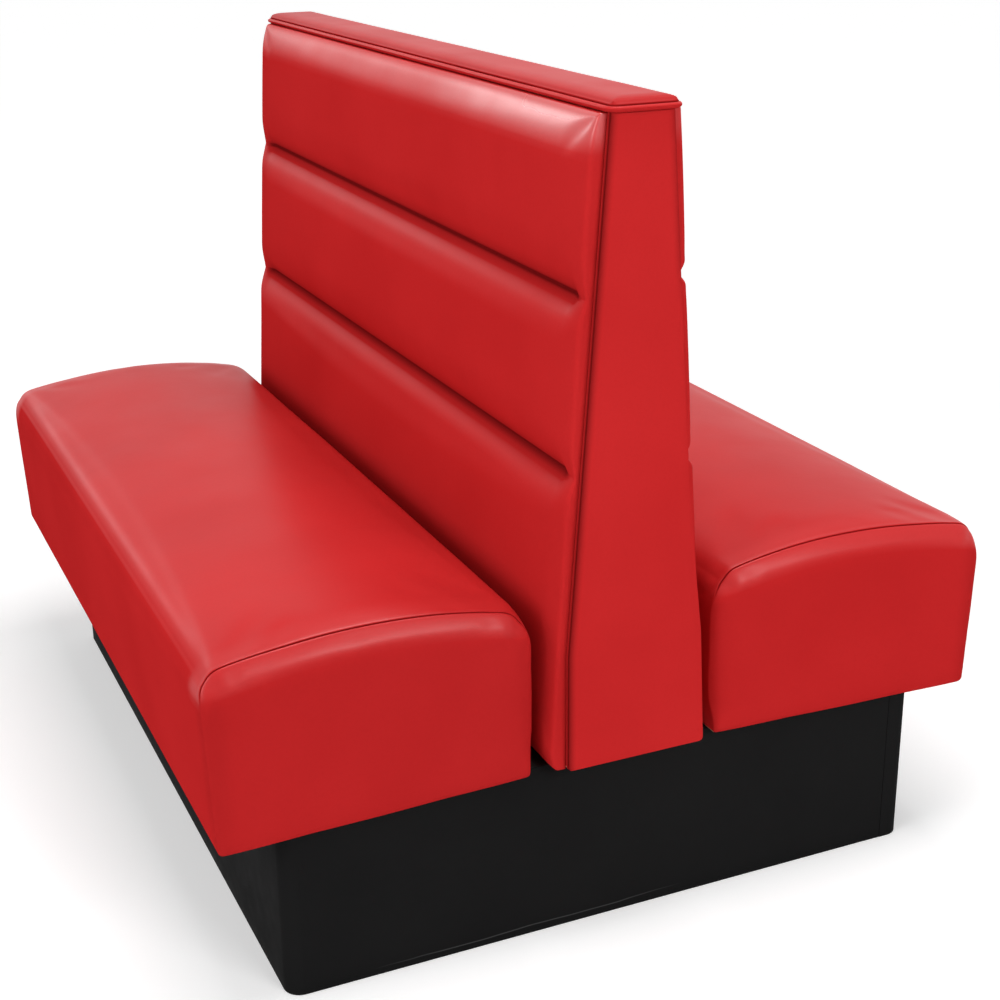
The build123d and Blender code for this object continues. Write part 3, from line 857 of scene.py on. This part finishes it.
def sag_at(name, x, z):
    """How far the foam has sagged at a place: most at the grooves, and uneven along them."""
    drops = (0.0, *(middle + lean * x / pad_reach for middle, lean in groove_sag[name]), 0.0)
    index = min(sum(z > groove for groove in grooves), len(grooves))
    share = (z - pad_edges[index]) / (pad_edges[index + 1] - pad_edges[index])
    return drops[index] + (drops[index + 1] - drops[index]) * share


def groove_shade(x, z):
    """Share of painted shade at a tied groove: deepest in the groove, and softer over and under it.
    """
    over = min((z - groove for groove in grooves), key=abs)
    core = groove_dark * ease(groove_dark_reach - abs(over), 0, 0.0050)
    soft = 0.0
    if 0 <= over < over_dark_run:
        soft = over_dark * (1 - over / over_dark_run) ** 2
    elif -under_dark_run < over < 0:
        soft = under_dark * (1 + over / under_dark_run) ** 1.7
    return max(core, soft) * ease(pad_reach - abs(x), 0.004, 0.032)


def top_wear(x, z):
    """Polish along the top of a back, where hands pass: strongest towards its near end."""
    along = top_polish_far + (1 - top_polish_far) * ease(x, *top_polish_along)
    return along * ease(z, *top_polish_heights)


def make_back_pad(name, side):
    """One side's channelled cover over its three foam pads."""
    lines = channel_lines()
    bm = cut_block(118, 2, len(lines) - 2)
    shade = bm.verts.layers.float.new("painted_shade")
    wear = bm.verts.layers.float.new("edge_wear")
    held_layer = bm.verts.layers.int.new("held")
    steps = len(lines) - 1
    for vert in bm.verts:
        u, v, w = vert.co
        row = round((w + 1) / 2 * steps)
        x = pad_reach * (2 * draw_together((u + 1) / 2, 0.66) - 1)
        z = lines[row]
        depth = (v + 1) / 2
        sagged = z - sag_at(name, x, z)
        y = panel_face(sagged) + pad_thickness(name, x, z) * depth
        vert.co = (x, side * y, sagged)
        # Painted shade at the grooves.
        vert[shade] = groove_shade(x, z)
        vert[wear] = top_polish[name] * top_wear(x, z)
        tied = any(abs(z - groove) < 1e-5 for groove in grooves) and abs(x) < pad_reach - tie_stop
        at_edge = row in (0, steps) or abs(u) > block_face
        vert[held_layer] = int(tied or depth < 0.4 or at_edge)
    if side < 0:
        bmesh.ops.reverse_faces(bm, faces=bm.faces)
    held = [vert.index for vert in bm.verts if vert[held_layer]]
    pad = finish_piece(f"{name}_back_pad", bm, back_vinyl)
    swell(pad, held, back_pressure, back_travel)
    subdivide_piece(pad)
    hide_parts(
        f"back_cover_{name}",
        f"back_foam_{name}_lower",
        f"back_foam_{name}_middle",
        f"back_foam_{name}_upper",
    )


for name, side in sides:
    make_back_pad(name, side)


# End panels of the back
# Each end of the back is closed by a plywood board in its own vinyl cover, with a thin wadding that
# rounds its upright edges. A sewn fold runs up beside the channels, just inside each edge.

ends = (("near", 1), ("far", -1))
panel_inner = 0.604
panel_thick = 0.0155
panel_low = 0.2467
panel_top = 1.041
panel_front_line = ((0.247, 0.0872), (0.401, 0.0872), (1.041, 0.0392))
panel_rear_line = (
    (0.247, 0.1030),
    (0.401, 0.0950),
    (0.50, 0.0830),
    (0.62, 0.0708),
    (0.80, 0.0572),
    (1.041, 0.0400),
)
panel_side_roll = 0.0120
panel_low_roll = 0.0015
panel_top_roll = 0.002
panel_corner = 0.0045
panel_belly = 0.0006
panel_ripple = 0.00035
panel_rear_dark = 0.6
panel_rear_dark_heights = (0.80, 0.88)

panel_walls = (
    (0.0, 0.0003),
    (0.0048, 0.0004),
    (0.0062, -0.0001),
    (0.0078, -0.0005),
    (0.0096, -0.0003),
    (0.0112, 0.0004),
    (0.0128, 0.0004),
    (0.0136, 0.0001),
)
panel_rolls = [math.radians(angle) for angle in (5, 14, 25, 36, 47, 58, 70, 80, 90)]
# Painted shade at each level: dark in the fold's two creases and fading over the rolled edge.
panel_shades = (1.0, 1.0, 0.5, 0.3, 0.45, 0.9, 0.9, 0.85, 0.8, 0.74, 0.64, 0.5, 0.35, 0.2, 0.08)
# The end panels' copy of the vinyl is lighter again: painted light.
panel_vinyl = make_red_vinyl("red_end_panel_vinyl_painted_lighter", (0.60, 0.0235, 0.0245), (0.545, 0.0195, 0.0205))


def panel_half_width(z, line):
    """Distance from the middle to an end panel's edge at a height, along a line of such places."""
    for (low, low_half), (high, high_half) in zip(line, line[1:]):
        if z < high:
            break
    return low_half + (high_half - low_half) * (z - low) / (high - low)


def make_end_panel(name, end, seed):
    """One end's board cover, from its folded walls over the rolled edge to its flat face."""
    levels = [(x, 0.0, fold) for x, fold in panel_walls]
    start = panel_walls[-1][0]
    for angle in panel_rolls:
        levels.append((start + (panel_thick - start) * math.sin(angle), 1 - math.cos(angle), 0.0))
    bm = cut_block(len(levels) - 2, 30, 90)
    last = len(levels) - 1
    shade = bm.verts.layers.float.new("painted_shade")
    for vert in bm.verts:
        u, v, w = vert.co
        level = round((u + 1) / 2 * last)
        x, rolled, fold = levels[level]
        up = draw_together((w + 1) / 2, 0.55)
        across = 2 * draw_together((v + 1) / 2, 0.75) - 1
        low = panel_low + panel_low_roll * rolled + fold
        high = panel_top - panel_top_roll * rolled
        z = low + (high - low) * up
        half = panel_half_width(z, panel_front_line if across < 0 else panel_rear_line)
        half -= panel_side_roll * rolled + fold
        y = half * across
        corner = max(panel_corner - panel_side_roll * rolled * 0.3, 0.001)
        shift_y, shift_z = round_off(half - abs(y), z - low, corner)
        y -= math.copysign(shift_y, y)
        z += shift_z
        if level == last:
            inward = min(ease(half - abs(y), 0.0, 0.03), ease(z - low, 0.0, 0.04))
            ripple = panel_ripple * noise.noise(Vector((y * 16, z * 9, seed)))
            x += (panel_belly + ripple) * inward
        vert.co = (end * (panel_inner + x), y, z)
        # Painted shade along the fold and over the rolled front edge; the rear edge gets it only
        # near the top.
        if level < len(panel_shades) and abs(v) > block_face:
            rear_share = panel_rear_dark * ease(z, *panel_rear_dark_heights)
            vert[shade] = panel_shades[level] * (1.0 if v < 0 else rear_share)
    if end < 0:
        bmesh.ops.reverse_faces(bm, faces=bm.faces)
    end_panel = finish_piece(f"back_end_panel_{name}", bm, panel_vinyl)
    subdivide_piece(end_panel)
    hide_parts(f"back_end_cover_{name}")


for (name, end), seed in zip(ends, (2.0, 9.0)):
    make_end_panel(name, end, seed)


# Cap
# A board with a thin pad closes the top of the back. Its cover is pulled over both, folded at the
# corners, and a soft double welt is trapped under its edge all the way round.

cap_length = 1.243
cap_depth = 0.081
cap_low = 1.0473
cap_edge_top = 1.0508
cap_crown = 1.0574
cap_crown_run = 0.02
cap_corner = 0.008
cap_ripple = 0.0003
cap_edge_dark = 0.55
cap_flare = (0.0030, 0.0055)
cap_levels = [
    (0.0012, cap_low),
    (0.0002, cap_low + 0.0005),
    (0.0, cap_low + 0.0015),
    (0.0003, cap_edge_top - 0.0016),
    (0.0011, cap_edge_top - 0.0006),
    (0.0024, cap_edge_top),
]

welt_inset = 0.006
welt_corner = 0.008
welt_bend_centre = 0.010
welt_sway = 0.0004
welt_levels = [
    (-0.0055, 1.0413),
    (0.0026, 1.0409),
    (0.0054, 1.0413),
    (0.0074, 1.0425),
    (0.0083, 1.0442),
    (0.0081, 1.0460),
    (0.0066, 1.0474),
    (0.0044, 1.0480),
    (0.0022, 1.0476),
    (0.0008, 1.0470),
    (-0.0055, 1.0466),
]
# Painted shade under the welt's roll and in the tuck under the cap's edge.
welt_shades = (1.0, 0.5, 0.1, 0.0, 0.0, 0.0, 0.0, 0.05, 0.45, 0.6, 0.6)


def flare_cap(x, y):
    """How far the cap's edge lies to the rear: most along its rear side, towards the near end."""
    far, near = cap_flare
    return (far + (near - far) * (x / cap_length + 0.5)) * min(max(y / cap_depth + 0.5, 0.0), 1.0)


def make_welt():
    """The welt's rolled edge, drawn out level by level from a loop round the cap."""
    bm = rounded_loop(cap_length - welt_inset, cap_depth - welt_inset, welt_corner, 5, 60, 9)
    shade = bm.verts.layers.float.new("painted_shade")
    loop = bm.verts[:]
    edges = bm.edges[:]
    inner_x = cap_length / 2 - welt_bend_centre
    inner_y = cap_depth / 2 - welt_bend_centre
    base = {vert: vert.co.copy() for vert in loop}
    outward = {}
    for vert, place in base.items():
        inside = (min(max(place.x, -inner_x), inner_x), min(max(place.y, -inner_y), inner_y), 0)
        outward[vert] = (place - Vector(inside)).normalized()
    for index, (reach, height) in enumerate(welt_levels):
        if index:
            made = bmesh.ops.extrude_edge_only(bm, edges=edges)["geom"]
            finder = nearest_finder([vert.co for vert in loop])
            drawn = [part for part in made if isinstance(part, bmesh.types.BMVert)]
            for vert in drawn:
                source = loop[finder.find(vert.co)[1]]
                base[vert] = base[source]
                outward[vert] = outward[source]
            loop = drawn
            edges = [part for part in made if isinstance(part, bmesh.types.BMEdge)]
        for vert in loop:
            place = base[vert]
            sway = welt_sway * noise.noise(Vector((place.x * 7, place.y * 7, index * 0.2)))
            vert.co = place + outward[vert] * (reach + sway)
            vert.co.y += flare_cap(place.x, place.y)
            vert.co.z = height + sway
            vert[shade] = welt_shades[index]
    bmesh.ops.bridge_loops(bm, edges=[e for e in bm.edges if e.is_boundary])
    bmesh.ops.recalc_face_normals(bm, faces=bm.faces)
    return bm


welt_vinyl = make_red_vinyl(
    "red_welt_vinyl", (0.52, 0.0200, 0.0210), (0.47, 0.0160, 0.0170), gloss=0.36
)
welt = finish_piece("cap_edge_welt", make_welt(), welt_vinyl)
subdivide_piece(welt)
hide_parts("cap_welt")

bm = cut_block(116, 22, len(cap_levels) - 2)
shade = bm.verts.layers.float.new("painted_shade")
last = len(cap_levels) - 1
for vert in bm.verts:
    u, v, w = vert.co
    inset, z = cap_levels[round((w + 1) / 2 * last)]
    half_length = cap_length / 2 - inset
    half_depth = cap_depth / 2 - inset
    x = half_length * (2 * draw_together((u + 1) / 2, 0.8) - 1)
    y = half_depth * (2 * draw_together((v + 1) / 2, 0.7) - 1)
    corner = max(cap_corner - inset, 0.001)
    shift_x, shift_y = round_off(half_length - abs(x), half_depth - abs(y), corner)
    x -= math.copysign(shift_x, x)
    y -= math.copysign(shift_y, y)
    if w > block_face:
        inward = min(half_depth - abs(y), half_length - abs(x))
        z += (cap_crown - cap_edge_top) * quarter_round(max(inward, 0), cap_crown_run)
        z += cap_ripple * noise.noise(Vector((x * 9, y * 20, 4.0))) * ease(inward, 0.0, 0.01)
    vert.co = (x, y + flare_cap(x, y), z)
    # Painted shade along the cap's low edge, over the welt.
    vert[shade] = cap_edge_dark if z < cap_low + 0.002 else 0.0
# The cap's copy of the vinyl is darker than the seats', against the overhead box above it: painted
# shade.
cap_vinyl = make_red_vinyl(
    "red_cap_vinyl_painted_darker", (0.445, 0.0180, 0.0190), (0.40, 0.0145, 0.0155), sheen_level=0.080
)
cap = finish_piece("cap_top", bm, cap_vinyl)
subdivide_piece(cap)
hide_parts("cap_cover", "cap_pad")
plywood_cap = make_timber("plywood_cap_board", birch, birch_dark, 0, ply_axis=2)
dress(plywood_cap, "cap_board")


# Studio
# The booth stands on a plain pale floor in a bright room. Soft boxes light it from overhead, from
# the front and from its near end, and a weak one past the far end lays the sheen on level places.

floor_size = 20
floor_white = (0.8, 0.8, 0.8, 1)
floor_glow = (0.36, 0.72)
floor_glow_distance = (1.0, 4.5)
room_light = 0.3
soft_boxes = (
    ("overhead_box", (0.5, 0.1, 3.5), 0.6, (2.0, 1.4), 66),
    ("far_end_box", (-4.2, -1.7, 2.1), 0.8, (1.2, 0.9), 16),
    ("front_box", (1.2, -3.8, 1.9), 0.5, (2.6, 2.0), 66),
    ("near_end_box", (4.0, 1.0, 2.2), 0.5, (1.8, 1.2), 62),
)
camera_place = (2.28704, -0.91949, 1.30283)
camera_tilt = 0.358692
camera_turn = 1.15151602
camera_roll = -0.0114697
lens_length = 61.98
film_width = 36


def seen_itself(tree):
    """1 where the background is seen, also in metal or through glass, or 0 where it is a light."""
    path = add_node(tree, "ShaderNodeLightPath").outputs
    seen = path["Is Camera Ray"]
    for ray in ("Is Glossy Ray", "Is Transmission Ray"):
        seen = calculate(tree, "MAXIMUM", seen, path[ray])
    return seen


def make_floor_finish():
    """A matt pale floor that is seen as bright as the room and keeps the booth's shadow."""
    finish, tree, shader, place = start_finish("pale_floor", roughness=0.8, specular=0.1)
    shader.inputs["Base Color"].default_value = floor_white
    away = add_node(tree, "ShaderNodeVectorMath", {0: place}, operation="LENGTH").outputs["Value"]
    glow_level = spread_range(tree, away, *floor_glow_distance, *floor_glow)
    glow_level = calculate(tree, "MULTIPLY", glow_level, seen_itself(tree))
    glow_inputs = {"Color": (1, 1, 1, 1), "Strength": glow_level}
    glow = add_node(tree, "ShaderNodeEmission", glow_inputs).outputs[0]
    both = add_node(tree, "ShaderNodeAddShader", {0: shader.outputs[0], 1: glow})
    tree.links.new(both.outputs[0], tree.nodes["Material Output"].inputs["Surface"])
    return finish


bm = bmesh.new()
bmesh.ops.create_grid(bm, x_segments=1, y_segments=1, size=floor_size)
floor_mesh = bpy.data.meshes.new("floor")
bm.to_mesh(floor_mesh)
bm.free()
floor_mesh.materials.append(make_floor_finish())
floor = bpy.data.objects.new("floor", floor_mesh)
bpy.context.scene.collection.objects.link(floor)

room = bpy.data.worlds.new("room")
room.use_nodes = True
bpy.context.scene.world = room
backdrop = room.node_tree.nodes["Background"]
brightness = spread_range(room.node_tree, seen_itself(room.node_tree), 0, 1, room_light, 1.0)
room.node_tree.links.new(brightness, backdrop.inputs["Strength"])
backdrop.inputs["Color"].default_value = (1, 1, 1, 1)

for name, place, target_height, (width, height), power in soft_boxes:
    lamp = bpy.data.lights.new(name, "AREA")
    lamp.shape = "RECTANGLE"
    lamp.size = width
    lamp.size_y = height
    lamp.energy = power
    box = bpy.data.objects.new(name, lamp)
    box.location = place
    toward_booth = Vector((0, 0, target_height)) - Vector(place)
    box.rotation_euler = toward_booth.to_track_quat("-Z", "Y").to_euler()
    bpy.context.scene.collection.objects.link(box)

lens = bpy.data.cameras.new("camera")
lens.lens = lens_length
lens.sensor_width = film_width
lens.clip_start = 0.05
lens.clip_end = 200
camera = bpy.data.objects.new("camera", lens)
camera.location = camera_place
aim = Euler((math.pi / 2 - camera_tilt, 0, camera_turn)).to_matrix()
camera.rotation_euler = (aim @ Matrix.Rotation(camera_roll, 3, "Z")).to_euler()
bpy.context.scene.collection.objects.link(camera)
bpy.context.scene.camera = camera

bpy.context.scene.view_settings.view_transform = "Standard"
